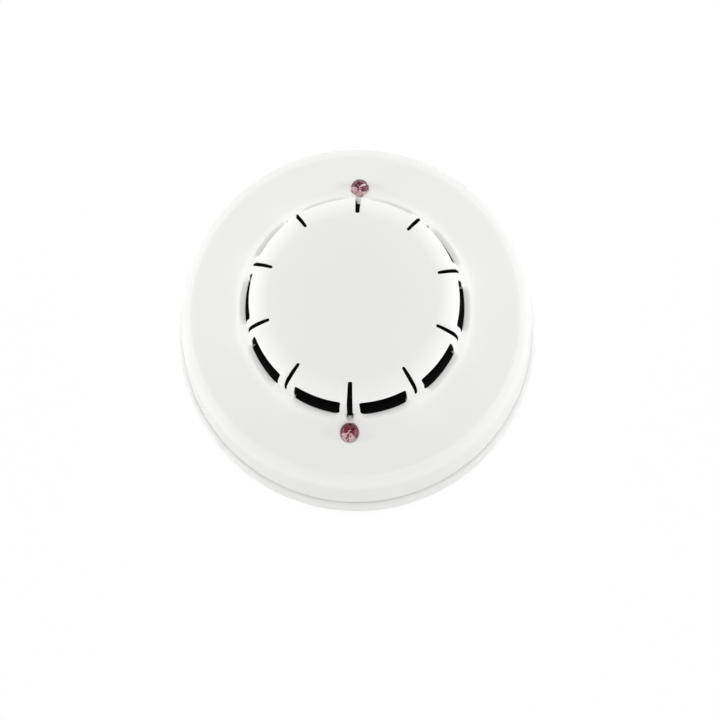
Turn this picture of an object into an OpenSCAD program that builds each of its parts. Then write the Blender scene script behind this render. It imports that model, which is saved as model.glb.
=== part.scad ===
// Point-type heat detector: a twist-off head with a ribbed, vented dome on a round
// mounting base. The origin is the centre of the base's back face, which lies against
// the ceiling, and +Z points out through the dome. One LED is towards +Y, one towards -Y.

/* [Mounting base] */
// Outer diameter of the base
base_d = 102; // [96:0.5:124]
// Height of the base's rim above the ceiling
base_h = 7.5; // [7.2:0.1:9]
// Thickness of the base's floor
floor_t = 2; // [1.6:0.1:2.4]
// Length of the cable opening in the floor
entry_l = 26; // [18:0.5:32]
// Width of the cable opening in the floor
entry_w = 16; // [10:0.5:19]
// Distance between the two fixing slots of a pair
slot_pitch = 60; // [56:0.5:64]
// End-to-end length of a fixing slot
slot_l = 14.5; // [8:0.5:16]
// Width of a fixing slot
slot_w = 4.5; // [3.5:0.1:5.5]

/* [Cover] */
// Gap between the base's rim and the cover's rim
rim_gap = 0.5; // [0.3:0.1:1]
// How far the base's edge stands out beyond the cover's edge
rim_step = 1.6; // [0.8:0.1:2.2]
// Height of the cover's side wall
side_h = 16.4; // [15:0.1:20]
// How far the side wall leans in over its height
side_lean = 1.6; // [0.8:0.1:3]
// Width of the rounded shoulder, across
shoulder_w = 3.2; // [2.6:0.1:5]
// Rise of the rounded shoulder
shoulder_h = 2.3; // [1.6:0.1:3]
// Rise of the cone from the shoulder to the crest round the vents
cone_h = 5.4; // [4:0.1:8]
// Wall thickness of the cover
cover_t = 2; // [1.6:0.1:2.3]

/* [Vented dome] */
// Inner diameter of the lip below the vents
lip_d = 58.3; // [52:0.2:64]
// Height of the vents
vent_h = 7.8; // [6:0.1:10]
// Gap between the cap's edge and the lip, seen from the front
vent_gap = 1.45; // [0.8:0.05:2]
// Rise of the cap above the top of the vents
cap_h = 5.6; // [5:0.1:7]
// Number of ribs that carry the cap
rib_n = 10; // [10:10:10]
// Width of a rib
rib_w = 5; // [4:0.1:6]
// Width of the slot along each rib
rib_slot_w = 1.3; // [0.8:0.1:2]

/* [Lamps and thermistor] */
// Diameter of a lamp's lens
led_d = 5; // [3:0.5:5.5]
// Diameter of the thermistor's bead
bead_d = 3; // [2:0.1:4]

/* [Head and terminals] */
// Thickness of the rear housing's plate
rear_t = 2; // [1.6:0.1:2.4]
// Free height for wires between the floor and the rear plate
bay_h = 8; // [7.8:0.1:9]
// Thickness of the circuit board
board_t = 1.6; // [1:0.1:2]
// Thickness of the terminal and blade strip
strip_t = 0.8; // [0.6:0.1:1]
// Diameter of a terminal screw's shank
terminal_d = 3.4; // [2.8:0.1:3.6]

/* [Hidden] */
$fn = 96;

// Clearances
slide_gap = 0.15;   // beside a blade in its contact
hole_gap = 0.08;    // round a shank, lead or tab
lug_gap = 0.3;      // above a bayonet lug
swing_gap = 0.6;    // between turning and fixed rings
plate_gap = 0.3;    // round the rear plate, inside the cover
overlap = 0.4;      // how far joined shapes run into each other

// Heights
base_r = base_d / 2;
cover_z = base_h + rim_gap;
rear_z = floor_t + bay_h;
rear_top = rear_z + rear_t;
board_gap = 4;
board_z = rear_top + board_gap;
board_top = board_z + board_t;

// Cover outline: rim, shoulder, crease, crest and lip
rim_r = base_r - rim_step;
side_r = rim_r - side_lean;
side_z = cover_z + side_h;
crease_r = side_r - shoulder_w;
crease_z = side_z + shoulder_h;
lip_r = lip_d / 2;
crest_r = lip_r + 1.5;
crest_z = crease_z + cone_h;
lip_z = crest_z - 0.5;
side_round = 5;
crest_round = 1.2;
cone_tilt = atan2(cone_h, crease_r - crest_r);

// Cap outline: a shallow crown and a tighter round down to the edge
cap_r = lip_r - vent_gap;
cap_z = lip_z + vent_h;
crown_r = 120;
crown_end = cap_r * 0.776;
cap_top = cap_z + cap_h;
crown_z = cap_top - crown_r;
crown_tilt = asin(crown_end / crown_r);
crown_edge = [crown_end, crown_z + crown_r * cos(crown_tilt)];
chord = [cap_r, cap_z] - crown_edge;
edge_turn = -2 * (atan2(chord.y, chord.x) + crown_tilt);
edge_round = norm(chord) / (2 * sin(edge_turn / 2));

// Ribs
rib_in = crown_end + 0.1;
rib_out = lip_r - 0.05;
rib_t = 1.6;
rib_foot = crest_z - 0.5;
rib_proud = 0.25;
slot_in = rib_in + 1;
slot_bottom = lip_z + 1.9;
rib_start = 90;

// Lamps
led_r = crest_r + 3.05;
led_angles = [90, 270];
led_hole_r = led_d / 2 + 0.15;
led_mid = crest_z - 1.5;
led_flange_t = 1;
led_body_h = 5.2;
led_flange_z = led_mid - led_body_h - led_flange_t;
led_flange_r = led_d / 2 + 0.4;
lead_w = 0.5;
lead_pitch = 2.54;
lead_stub = 1;
cup_r = 1;
cup_h = 1.3;
post_h = 2.4;
groove_z = crest_z - 1.2;

// Chamber plate, sleeve and thermistor
plate_t = 2;
plate_top = lip_z - cover_t - 0.2;
plate_z = plate_top - plate_t;
plate_r = lip_r + 1.2;
sleeve_r = 3.6;
sleeve_bore_r = 2.4;
sleeve_h = 3.6;
sleeve_flange_r = 5;
sleeve_flange_t = 0.8;
bead_z = plate_top + 6.8;
bead_lead_r = 0.3;
bead_pitch = 1.6;

// Bayonet and head fixings
collar_r = base_r - 7;
collar_t = 2;
collar_z = floor_t + 1.1;
base_wall_r = base_r - 3;
lug_h = 1.9;
lug_r = base_wall_r - swing_gap;
lug_span = 14;
ledge_span = 18;
ledge_r = collar_r + swing_gap;
ledge_h = 2;
ledge_z = collar_z + lug_h + lug_gap;
lug_angles = [30, 150, 270];
stop_span = 2;
stop_gap = 0.4;
stop_at = stop_gap + stop_span / 2;
twist = 20;
boss_r = 3.2;
boss_ring_r = collar_r - collar_t - boss_r - 0.3;
boss_angles = [0, 120, 240];
boss_pilot_r = 1.25;
boss_depth = 10;
rear_r = rim_r - side_lean * (rear_top - cover_z) / side_h - cover_t - plate_gap;
post_r = 3;
board_r = boss_ring_r + 1.5;
post_ring_r = board_r - 7;
post_angles = [15, 105, 195, 285];
post_pilot_r = 1.05;

// Terminals: each is laid out on its own axis, x outwards and y along the turn
terminal_angles = [45, 135, 225, 315];
contact_x = 31;
contact_w = 6;
contact_l = 7.5;
contact_y = -4;
screw_y = -9;
pad_h = 1;
pad_w = 9;
plate_zt = floor_t + pad_h;
leaf_gap = strip_t + 2 * slide_gap;
washer_w = 7;
washer_t = 1;
terminal_head_r = 3.2;
terminal_head_h = 2.4;
terminal_shank_l = 3.7;
shank_bore_r = terminal_d / 2 + hole_gap;
blade_w = 5;
blade_z = plate_zt + strip_t + slide_gap;
blade_y = contact_y + contact_l + 0.6;
blade_foot_l = 6;
blade_top = board_top + 0.8;

// The wall below the chamber plate stands inside the lip and inside the ring of blades
chamber_wall_r = min(lip_r - 1, contact_x - blade_w / 2 - 0.4);
chamber_wall_t = 1.8;
spread = (chamber_wall_r - chamber_wall_t) / 26.3;

// Screws
cover_head_r = 2.5;
cover_head_h = 2.1;
cover_shank_r = 1.2;
board_head_r = 2.2;
board_head_h = 1.6;
board_shank_r = 1;
cross_w = 0.8;
cross_depth = 1;

// Circuit board parts: [x, y, turn], which spread with the chamber above them
resistor_places = [[-16, 13, 0], [-16, 9, 0], [16, 14, 90], [20, 10, 90], [2, -18.5, 0], [2, -22.5, 0]];
resistor_r = 1.1;
resistor_l = 6.3;
transistor_places = [[-8, -18, 30], [18, -2, 200]];
capacitor_at = spread * [11, -12];
capacitor_r = 3.15;
capacitor_h = 7.5;
chip_at = spread * [-10, 2];
chip_size = [9.6, 6.4, 3.2];
rectifier_at = spread * [-17, -9];
rectifier_size = [8, 6, 3.4];
varistor_at = spread * [2, 20];
varistor_r = 3.5;
varistor_t = 3;
reference_at = spread * [9, 5];

// ---- Outline helpers -----------------------------------------------------------------

function unit(v) = v / norm(v);

// The line from a to b, moved sideways by t to its left
function side_step(a, b, t) = t * [-(b - a).y, (b - a).x] / norm(b - a);

// Where the lines a-b and c-d cross
function crossing(a, b, c, d) =
    let (u = b - a, v = d - c, w = c - a)
    a + u * (w.x * v.y - w.y * v.x) / (u.x * v.y - u.y * v.x);

// An open outline moved to its left by t, with mitred corners
function inset(path, t) = [
    for (i = [0 : len(path) - 1])
        i == 0 ? path[0] + side_step(path[0], path[1], t)
        : i == len(path) - 1 ? path[i] + side_step(path[i - 1], path[i], t)
        : let (s = side_step(path[i - 1], path[i], t), e = side_step(path[i], path[i + 1], t))
          crossing(path[i - 1] + s, path[i] + s, path[i] + e, path[i + 1] + e)
];

// The corner p between a and b, rounded to radius r, as points from a's side to b's
function corner(a, p, b, r, steps = 6) =
    let (
        u = unit(a - p), v = unit(b - p), half = acos(u * v) / 2,
        c = p + unit(u + v) * r / sin(half),
        s = p + u * r / tan(half) - c, e = p + v * r / tan(half) - c,
        from = atan2(s.y, s.x), turn = (atan2(e.y, e.x) - from + 540) % 360 - 180
    )
    [for (i = [0 : steps]) c + r * [cos(from + turn * i / steps), sin(from + turn * i / steps)]];

// Points of an arc about c, from angle a to angle b
function arc(c, r, a, b, steps) =
    [for (i = [0 : steps]) c + r * [cos(a + (b - a) * i / steps), sin(a + (b - a) * i / steps)]];

function reversed(path) = [for (i = [len(path) - 1 : -1 : 0]) path[i]];

// The cover's side, shoulder, cone and lip as corner points, rim first
skirt_path = [[rim_r, cover_z], [side_r, side_z], [crease_r, crease_z], [crest_r, crest_z], [lip_r, lip_z]];

function skirt_outline(path, side, crest) = concat(
    [path[0]],
    corner(path[0], path[1], path[2], side),
    [path[2]],
    corner(path[2], path[3], path[4], crest),
    [path[4]]
);

// The cap's outer face from the axis to the edge, moved out by t
function cap_outline(t) = concat(
    arc([0, crown_z], crown_r + t, 90, 90 - crown_tilt, 6),
    arc(crown_edge - edge_round * [sin(crown_tilt), cos(crown_tilt)], edge_round + t,
        90 - crown_tilt - 4, 90 - crown_tilt - edge_turn, 8)
);

// ---- General shapes ------------------------------------------------------------------

// A sector of a flat ring, centred on the angle mid
module ring_sector(inner, outer, z, h, mid, span) {
    rotate([0, 0, mid - span / 2])
        translate([0, 0, z])
            rotate_extrude(angle = span)
                translate([inner, 0])
                    square([outer - inner, h]);
}

module tube(outer, inner, z, h) {
    translate([0, 0, z])
        difference() {
            cylinder(r = outer, h = h);
            translate([0, 0, -overlap])
                cylinder(r = inner, h = h + 2 * overlap);
        }
}

// Turns its children round the axis to each angle
module at_angles(angles) {
    for (a = angles)
        rotate([0, 0, a])
            children();
}

// A box centred on x and y that stands on z = 0
module block(size) {
    translate([-size.x / 2, -size.y / 2, 0])
        cube(size);
}

// A slot with round ends, length l along x and width w
module slot_shape(l, w) {
    square([l - w, w], center = true);
    for (side = [-1, 1])
        translate([side * (l - w) / 2, 0])
            circle(d = w);
}

// A screw with a cross-slotted pan head above z = 0 and its shank below
module pan_screw(head_r, head_h, shank_r, shank_l) {
    difference() {
        union() {
            rotate_extrude()
                polygon(concat([[0, 0]], corner([0, 0], [head_r, 0], [head_r, head_h], 0.2),
                    corner([head_r, 0], [head_r, head_h], [0, head_h], 0.9), [[0, head_h]]));
            translate([0, 0, -shank_l])
                cylinder(r = shank_r, h = shank_l + overlap);
        }
        for (turn = [0, 90])
            rotate([0, 0, turn])
                translate([0, 0, head_h - cross_depth])
                    block([head_r * 1.3, cross_w, head_h]);
    }
}

// ---- Mounting base -------------------------------------------------------------------

module base_holes() {
    translate([0, 0, -overlap])
        linear_extrude(floor_t + 2 * overlap)
            slot_shape(entry_l, entry_w);
    for (turn = [0, 90], side = [-1, 1])
        rotate([0, 0, turn])
            translate([side * slot_pitch / 2, 0, -overlap])
                linear_extrude(floor_t + pad_h + 2 * overlap)
                    slot_shape(slot_l, slot_w);
}

// The raised pad under one terminal
module terminal_pad() {
    translate([contact_x, (screw_y + contact_y + contact_l) / 2 - 1, floor_t - overlap])
        block([pad_w, contact_y + contact_l - screw_y + 5, pad_h + overlap]);
}

module terminal_bore() {
    translate([contact_x, screw_y, plate_zt - terminal_shank_l + strip_t + washer_t - 0.3])
        cylinder(r = shank_bore_r, h = terminal_shank_l + 2);
}

module mounting_base() {
    rim = [[base_wall_r, floor_t - overlap], [base_r, 0], [base_r - 0.3, base_h], [base_wall_r, base_h]];
    color("whitesmoke")
        difference() {
            union() {
                cylinder(r = base_r - overlap, h = floor_t);
                rotate_extrude()
                    polygon(concat([rim[0], [base_wall_r, 0]], corner([base_wall_r, 0], rim[1], rim[2], 0.4),
                        corner(rim[1], rim[2], rim[3], 1.5), [rim[3]]));
                for (a = lug_angles) {
                    ring_sector(ledge_r, base_wall_r + overlap, ledge_z, ledge_h, a, ledge_span);
                    for (end = [a - lug_span / 2 - stop_at, a + lug_span / 2 + twist + stop_at])
                        ring_sector(ledge_r + overlap, base_wall_r + overlap, floor_t - overlap,
                            ledge_z + ledge_h / 2 - floor_t + overlap, end, stop_span);
                }
                at_angles(terminal_angles) terminal_pad();
                tube(entry_l / 2 + 3, entry_l / 2 + 1.6, floor_t - overlap, pad_h + overlap);
            }
            base_holes();
            at_angles(terminal_angles) terminal_bore();
        }
}

// The strip below the screw and the two leaves that grip a blade
module terminal_plate(k) {
    color("gold")
        rotate([0, 0, terminal_angles[k]])
            difference() {
                translate([contact_x, 0, 0]) {
                    translate([0, (screw_y - washer_w / 2 + contact_y + contact_l) / 2, plate_zt])
                        block([contact_w, contact_y + contact_l - screw_y + washer_w / 2, strip_t]);
                    translate([0, contact_y + contact_l / 2, plate_zt + strip_t + leaf_gap])
                        block([contact_w, contact_l, strip_t]);
                    translate([0, contact_y + strip_t / 2, plate_zt])
                        block([contact_w, strip_t, 2 * strip_t + leaf_gap]);
                }
                terminal_bore();
            }
}

module clamp_washer(k) {
    color("silver")
        rotate([0, 0, terminal_angles[k]])
            translate([contact_x, screw_y, plate_zt + strip_t])
                difference() {
                    translate([0, -0.3, 0])
                        block([washer_w, washer_w, washer_t]);
                    translate([0, 0, -overlap])
                        cylinder(r = shank_bore_r, h = washer_t + 2 * overlap);
                }
}

module terminal_screw(k) {
    color("silver")
        rotate([0, 0, terminal_angles[k]])
            translate([contact_x, screw_y, plate_zt + strip_t + washer_t])
                pan_screw(terminal_head_r, terminal_head_h, terminal_d / 2, terminal_shank_l);
}

// ---- Head: housing, blades and board ---------------------------------------------------

module blade_slot(z, h) {
    translate([contact_x, blade_y + strip_t / 2, z - overlap])
        block([blade_w + 2 * hole_gap, strip_t + 2 * hole_gap, h + 2 * overlap]);
}

module rear_housing() {
    color("gainsboro")
        difference() {
            union() {
                translate([0, 0, rear_z])
                    cylinder(r = rear_r, h = rear_t);
                tube(collar_r, collar_r - collar_t, collar_z, rear_z - collar_z + overlap);
                for (a = lug_angles)
                    ring_sector(collar_r - overlap, lug_r, collar_z, lug_h, a, lug_span);
                at_angles(post_angles)
                    translate([post_ring_r, 0, rear_top - overlap])
                        cylinder(r = post_r, h = board_gap + overlap);
                tube(12, 10.5, rear_z - 1.2, 1.2 + overlap);
            }
            at_angles(post_angles)
                translate([post_ring_r, 0, rear_z + 0.8])
                    cylinder(r = post_pilot_r, h = board_gap + rear_t);
            at_angles(boss_angles)
                translate([boss_ring_r, 0, rear_z - overlap])
                    cylinder(r = cover_shank_r + hole_gap, h = rear_t + 2 * overlap);
            at_angles(terminal_angles) blade_slot(rear_z, rear_t);
        }
}

// A bent strip: the foot that enters the contact and the leg up to the board
module contact_blade(k) {
    color("silver")
        rotate([0, 0, terminal_angles[k]])
            translate([contact_x, blade_y, blade_z]) {
                translate([0, strip_t / 2, 0])
                    block([blade_w, strip_t, blade_top - blade_z]);
                translate([0, (strip_t - blade_foot_l) / 2, 0])
                    block([blade_w, blade_foot_l + strip_t, strip_t]);
            }
}

module lead_holes() {
    for (a = led_angles, side = [-1, 1])
        rotate([0, 0, a])
            translate([led_r, side * lead_pitch / 2, board_z - overlap])
                cylinder(r = lead_w, h = board_t + 2 * overlap);
    for (at = [[0, 0], reference_at], side = [-1, 1])
        translate([at.x + side * bead_pitch / 2, at.y, board_z - overlap])
            cylinder(r = bead_lead_r + hole_gap, h = board_t + 2 * overlap);
}

module circuit_board() {
    color("seagreen")
        difference() {
            translate([0, 0, board_z])
                cylinder(r = board_r, h = board_t);
            at_angles(boss_angles)
                translate([boss_ring_r, 0, board_z - overlap])
                    cylinder(r = boss_r + swing_gap, h = board_t + 2 * overlap);
            at_angles(post_angles)
                translate([post_ring_r, 0, board_z - overlap])
                    cylinder(r = board_shank_r + hole_gap, h = board_t + 2 * overlap);
            at_angles(terminal_angles) blade_slot(board_z, board_t);
            lead_holes();
        }
}

module cover_screws() {
    color("silver")
        at_angles(boss_angles)
            translate([boss_ring_r, 0, rear_z])
                mirror([0, 0, 1])
                    pan_screw(cover_head_r, cover_head_h, cover_shank_r, rear_t + boss_depth - 1);
}

module board_screws() {
    color("silver")
        at_angles(post_angles)
            translate([post_ring_r, 0, board_top])
                pan_screw(board_head_r, board_head_h, board_shank_r, board_t + board_gap);
}

// ---- Head: cover -----------------------------------------------------------------------

module skirt() {
    inner = inset(skirt_path, cover_t);
    rotate_extrude()
        polygon(concat(
            skirt_outline(skirt_path, side_round, crest_round),
            reversed(skirt_outline(inner, side_round - cover_t, crest_round / 3))
        ));
}

module cap() {
    rotate_extrude()
        polygon(concat(cap_outline(0), reversed(cap_outline(-cover_t))));
}

// A rib seen from the side, with its foot in the lip and its head in the cap
module rib_side() {
    outer = [for (p = cap_outline(rib_proud)) if (p.x > rib_in && p.x < cap_r - 1.4) p];
    inner = [for (p = cap_outline(-cover_t / 2)) if (p.x > rib_in && p.x < cap_r - rib_t - 0.2) p];
    knee = [cap_r + 0.85, cap_z - 1.6];
    polygon(concat(
        outer,
        corner(outer[len(outer) - 1], [cap_r + 0.35, cap_z + 0.1], knee, 2),
        [knee, [rib_out - 0.1, cap_z - 4], [rib_out, rib_foot + 1.4], [rib_out + 1.2, rib_foot - 0.1],
            [rib_out, lip_z - 1],
            [lip_r - rib_t, lip_z - 1], [cap_r - rib_t, cap_z - 1]],
        reversed(inner)
    ));
}

module ribs() {
    for (k = [0 : rib_n - 1])
        rotate([0, 0, rib_start + k * 360 / rib_n])
            rotate([90, 0, 0])
                linear_extrude(rib_w, center = true)
                    rib_side();
}

module rib_slots() {
    for (k = [0 : rib_n - 1])
        rotate([0, 0, rib_start + k * 360 / rib_n])
            translate([slot_in, -rib_slot_w / 2, slot_bottom])
                cube([rib_out - slot_in + 1, rib_slot_w, cap_top]);
}

module led_openings() {
    at_angles(led_angles) {
        translate([led_r, 0, crease_z])
            cylinder(r = led_hole_r, h = cone_h + cap_h);
        translate([lip_r + 0.6, -rib_slot_w / 2, groove_z])
            cube([led_r - lip_r - 0.6, rib_slot_w, slot_bottom - groove_z + 0.5]);
    }
}

// The height of the cone's inner face at radius r
function cone_inside(r) = crease_z + (crease_r - r) * tan(cone_tilt) - cover_t / cos(cone_tilt);

module cover_bosses() {
    at_angles(boss_angles)
        translate([boss_ring_r, 0, rear_top])
            cylinder(r = boss_r, h = cone_inside(boss_ring_r + boss_r) - rear_top + overlap);
}

module outer_cover() {
    color("white")
        difference() {
            union() {
                skirt();
                cap();
                ribs();
                cover_bosses();
            }
            rib_slots();
            led_openings();
            at_angles(boss_angles)
                translate([boss_ring_r, 0, rear_top - overlap])
                    cylinder(r = boss_pilot_r, h = boss_depth + overlap);
        }
}

// ---- Head: sensing chamber and lamps -----------------------------------------------------

module chamber_plate() {
    color("dimgray")
        difference() {
            union() {
                translate([0, 0, plate_z])
                    cylinder(r = plate_r, h = plate_t);
                tube(chamber_wall_r, chamber_wall_r - chamber_wall_t, board_top, plate_z - board_top + overlap);
            }
            translate([0, 0, plate_z - overlap])
                cylinder(r = sleeve_r + hole_gap, h = plate_t + 2 * overlap);
            at_angles(led_angles)
                translate([led_r, 0, plate_z - overlap])
                    cylinder(r = led_flange_r + 0.6, h = plate_t + 2 * overlap);
        }
}

// The guard round the thermistor's leads, plugged into the chamber plate
module thermistor_sleeve() {
    color("dimgray") {
        tube(sleeve_r, sleeve_bore_r, plate_z, plate_t + sleeve_h);
        tube(sleeve_flange_r, sleeve_bore_r, plate_top, sleeve_flange_t);
    }
}

// A bead on two straight leads that end below the board
module bead_on_leads(r, z) {
    for (side = [-1, 1])
        translate([side * bead_pitch / 2, 0, board_z - lead_stub])
            cylinder(r = bead_lead_r, h = z - board_z + lead_stub);
    translate([0, 0, z])
        sphere(r = r);
}

module thermistor() {
    color("black")
        bead_on_leads(bead_d / 2, bead_z);
}

module reference_thermistor() {
    color("darkolivegreen")
        translate([reference_at.x, reference_at.y, 0])
            bead_on_leads(1.3, board_top + 3);
}

// The two lead posts of a lamp, one with the cup that holds the die
module led_frame(k) {
    color("silver")
        rotate([0, 0, led_angles[k]])
            translate([led_r, 0, 0]) {
                for (side = [-1, 1])
                    translate([0, side * lead_pitch / 2, board_z - lead_stub])
                        block([lead_w, lead_w, led_flange_z + post_h - board_z + lead_stub]);
                translate([0, -lead_pitch / 2 + 0.77, led_flange_z + post_h - 0.4])
                    difference() {
                        cylinder(r = cup_r, h = cup_h);
                        translate([0, 0, cup_h - 0.5])
                            cylinder(r1 = cup_r * 0.4, r2 = cup_r * 0.85, h = 0.5 + 0.01);
                    }
            }
}

module led_lens(k) {
    color("rosybrown")
        difference() {
            rotate([0, 0, led_angles[k]])
                translate([led_r, 0, led_flange_z]) {
                    cylinder(r = led_flange_r, h = led_flange_t);
                    cylinder(d = led_d, h = led_mid - led_flange_z);
                    translate([0, 0, led_mid - led_flange_z])
                        sphere(d = led_d);
                }
            led_frame(k);
        }
}

module led_spacer(k) {
    color("dimgray")
        rotate([0, 0, led_angles[k]])
            translate([led_r, 0, 0])
                tube(3.4, 2.2, board_top, led_flange_z - board_top);
}

// ---- Circuit board parts ----------------------------------------------------------------

module capacitor() {
    color("darkslateblue")
        translate([capacitor_at.x, capacitor_at.y, board_top])
            rotate_extrude()
                polygon(concat([[0, 0], [capacitor_r - 0.3, 0], [capacitor_r, 0.4], [capacitor_r - 0.35, 1.1],
                    [capacitor_r, 1.7]], corner([capacitor_r, 0], [capacitor_r, capacitor_h], [0, capacitor_h], 0.5),
                    [[0, capacitor_h]]));
}

module comparator_chip() {
    color("darkgray")
        translate([chip_at.x, chip_at.y, board_top]) {
            translate([0, 0, 0.5])
                block([chip_size.x, chip_size.y, chip_size.z]);
            for (i = [-1.5 : 1.5], side = [-1, 1])
                translate([i * 2.54, side * (chip_size.y / 2 + 0.35), 0])
                    block([1.2, 0.9, 1.9]);
        }
}

module bridge_rectifier() {
    color("darkgray")
        translate([rectifier_at.x, rectifier_at.y, board_top])
            difference() {
                block(rectifier_size);
                translate([-rectifier_size.x / 2, 0, rectifier_size.z])
                    rotate([90, 0, 90])
                        cylinder(r = 0.6, h = 1.2, $fn = 24);
            }
}

module surge_varistor() {
    color("steelblue")
        translate([varistor_at.x, varistor_at.y, board_top + varistor_r]) {
            rotate([90, 0, 0])
                cylinder(r = varistor_r, h = varistor_t, center = true);
            translate([0, 0, -varistor_r])
                block([varistor_r, varistor_t * 0.6, 1.2]);
        }
}

// A half-round plastic package
module transistor(k) {
    place = transistor_places[k];
    color("darkgray")
        translate([spread * place.x, spread * place.y, board_top])
            rotate([0, 0, place[2]])
                difference() {
                    cylinder(r = 2.4, h = 4.8);
                    translate([-4, 1.1, -overlap])
                        cube([8, 4, 6]);
                }
}

module resistor(k) {
    place = resistor_places[k];
    color("tan")
        translate([spread * place.x, spread * place.y, board_top + resistor_r])
            rotate([0, 0, place[2]]) {
                rotate([0, 90, 0])
                    cylinder(r = resistor_r, h = resistor_l, center = true);
                for (side = [-1, 1])
                    translate([side * (resistor_l / 2 + 0.5), 0, -resistor_r])
                        block([1.4, 0.6, resistor_r + 0.3]);
            }
}

// ---- Nodes -----------------------------------------------------------------------------

mounting_base();
terminal_plate(0);  // terminal_plate_1
terminal_plate(1);  // terminal_plate_2
terminal_plate(2);  // terminal_plate_3
terminal_plate(3);  // terminal_plate_4
clamp_washer(0);  // clamp_washer_1
clamp_washer(1);  // clamp_washer_2
clamp_washer(2);  // clamp_washer_3
clamp_washer(3);  // clamp_washer_4
terminal_screw(0);  // terminal_screw_1
terminal_screw(1);  // terminal_screw_2
terminal_screw(2);  // terminal_screw_3
terminal_screw(3);  // terminal_screw_4
rear_housing();
outer_cover();
chamber_plate();
thermistor_sleeve();
contact_blade(0);  // contact_blade_1
contact_blade(1);  // contact_blade_2
contact_blade(2);  // contact_blade_3
contact_blade(3);  // contact_blade_4
circuit_board();
thermistor();
reference_thermistor();
led_lens(0);  // led_lens_upper
led_lens(1);  // led_lens_lower
led_frame(0);  // led_frame_upper
led_frame(1);  // led_frame_lower
led_spacer(0);  // led_spacer_upper
led_spacer(1);  // led_spacer_lower
cover_screws();
board_screws();
capacitor();
comparator_chip();
bridge_rectifier();
surge_varistor();
transistor(0);  // transistor_1
transistor(1);  // transistor_2
resistor(0);  // resistor_1
resistor(1);  // resistor_2
resistor(2);  // resistor_3
resistor(3);  // resistor_4
resistor(4);  // resistor_5
resistor(5);  // resistor_6
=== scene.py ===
"""Heat detector: soft-edged mouldings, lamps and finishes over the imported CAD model."""
import math

import bmesh
import bpy
from bpy.props import FloatProperty, FloatVectorProperty, IntProperty, PointerProperty
from mathutils import Matrix, Vector


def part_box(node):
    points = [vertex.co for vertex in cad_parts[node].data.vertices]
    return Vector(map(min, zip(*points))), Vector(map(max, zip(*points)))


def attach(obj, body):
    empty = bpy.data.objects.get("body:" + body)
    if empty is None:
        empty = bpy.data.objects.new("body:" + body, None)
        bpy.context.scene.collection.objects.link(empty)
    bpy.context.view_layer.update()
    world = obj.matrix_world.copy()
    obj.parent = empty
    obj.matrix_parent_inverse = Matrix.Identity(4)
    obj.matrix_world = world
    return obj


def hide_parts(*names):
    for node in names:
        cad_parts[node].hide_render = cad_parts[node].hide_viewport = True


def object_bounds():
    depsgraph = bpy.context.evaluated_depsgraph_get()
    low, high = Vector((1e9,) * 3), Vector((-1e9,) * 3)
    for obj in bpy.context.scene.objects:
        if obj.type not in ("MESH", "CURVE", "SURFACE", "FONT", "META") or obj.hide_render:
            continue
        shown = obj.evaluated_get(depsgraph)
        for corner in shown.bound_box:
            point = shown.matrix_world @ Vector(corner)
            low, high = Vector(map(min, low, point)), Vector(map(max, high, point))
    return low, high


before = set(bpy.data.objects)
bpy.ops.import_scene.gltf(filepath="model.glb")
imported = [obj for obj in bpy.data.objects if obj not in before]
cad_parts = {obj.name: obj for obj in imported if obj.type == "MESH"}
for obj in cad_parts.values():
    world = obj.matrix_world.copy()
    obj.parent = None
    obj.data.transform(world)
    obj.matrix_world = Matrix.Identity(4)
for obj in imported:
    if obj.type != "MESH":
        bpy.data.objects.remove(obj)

bl_info = {
    "name": "Heat Detector",
    "version": (1, 0, 0),
    "blender": (4, 5, 0),
    "location": "3D View > Sidebar > Heat Detector",
    "description": "Builds a point heat detector's cover, lamps, finishes and stage",
    "category": "Object",
}

MM = 0.001
NO_RADIUS = 0.0001 * MM  # a point nearer the axis than this lies on it
CAD_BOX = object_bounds()
COVER_LOW, COVER_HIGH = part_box("outer_cover")
LENS_LOW, LENS_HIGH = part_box("led_lens_upper")
_, BOSS_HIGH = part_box("cover_screws")
_, BOARD_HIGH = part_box("circuit_board")
LAMPS = {"upper": 90, "lower": 270}  # where each stands round the head, in degrees


def length(name, description, millimetres):
    """A size in metres, written in millimetres."""
    return FloatProperty(name=name, description=description, default=millimetres * MM, unit="LENGTH")


def degrees(name, description, value):
    """An angle in radians, written in degrees."""
    return FloatProperty(name=name, description=description, default=math.radians(value), subtype="ANGLE")


def number(name, description, count, least):
    """A count of like features."""
    return IntProperty(name=name, description=description, default=count, min=least)


def colour(name, description, *channels):
    """A colour, written as linear red, green and blue."""
    return FloatVectorProperty(
        name=name, description=description, default=channels, size=3, subtype="COLOR", min=0, max=1
    )


# ---- Sizes and colours -----------------------------------------------------------------


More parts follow.
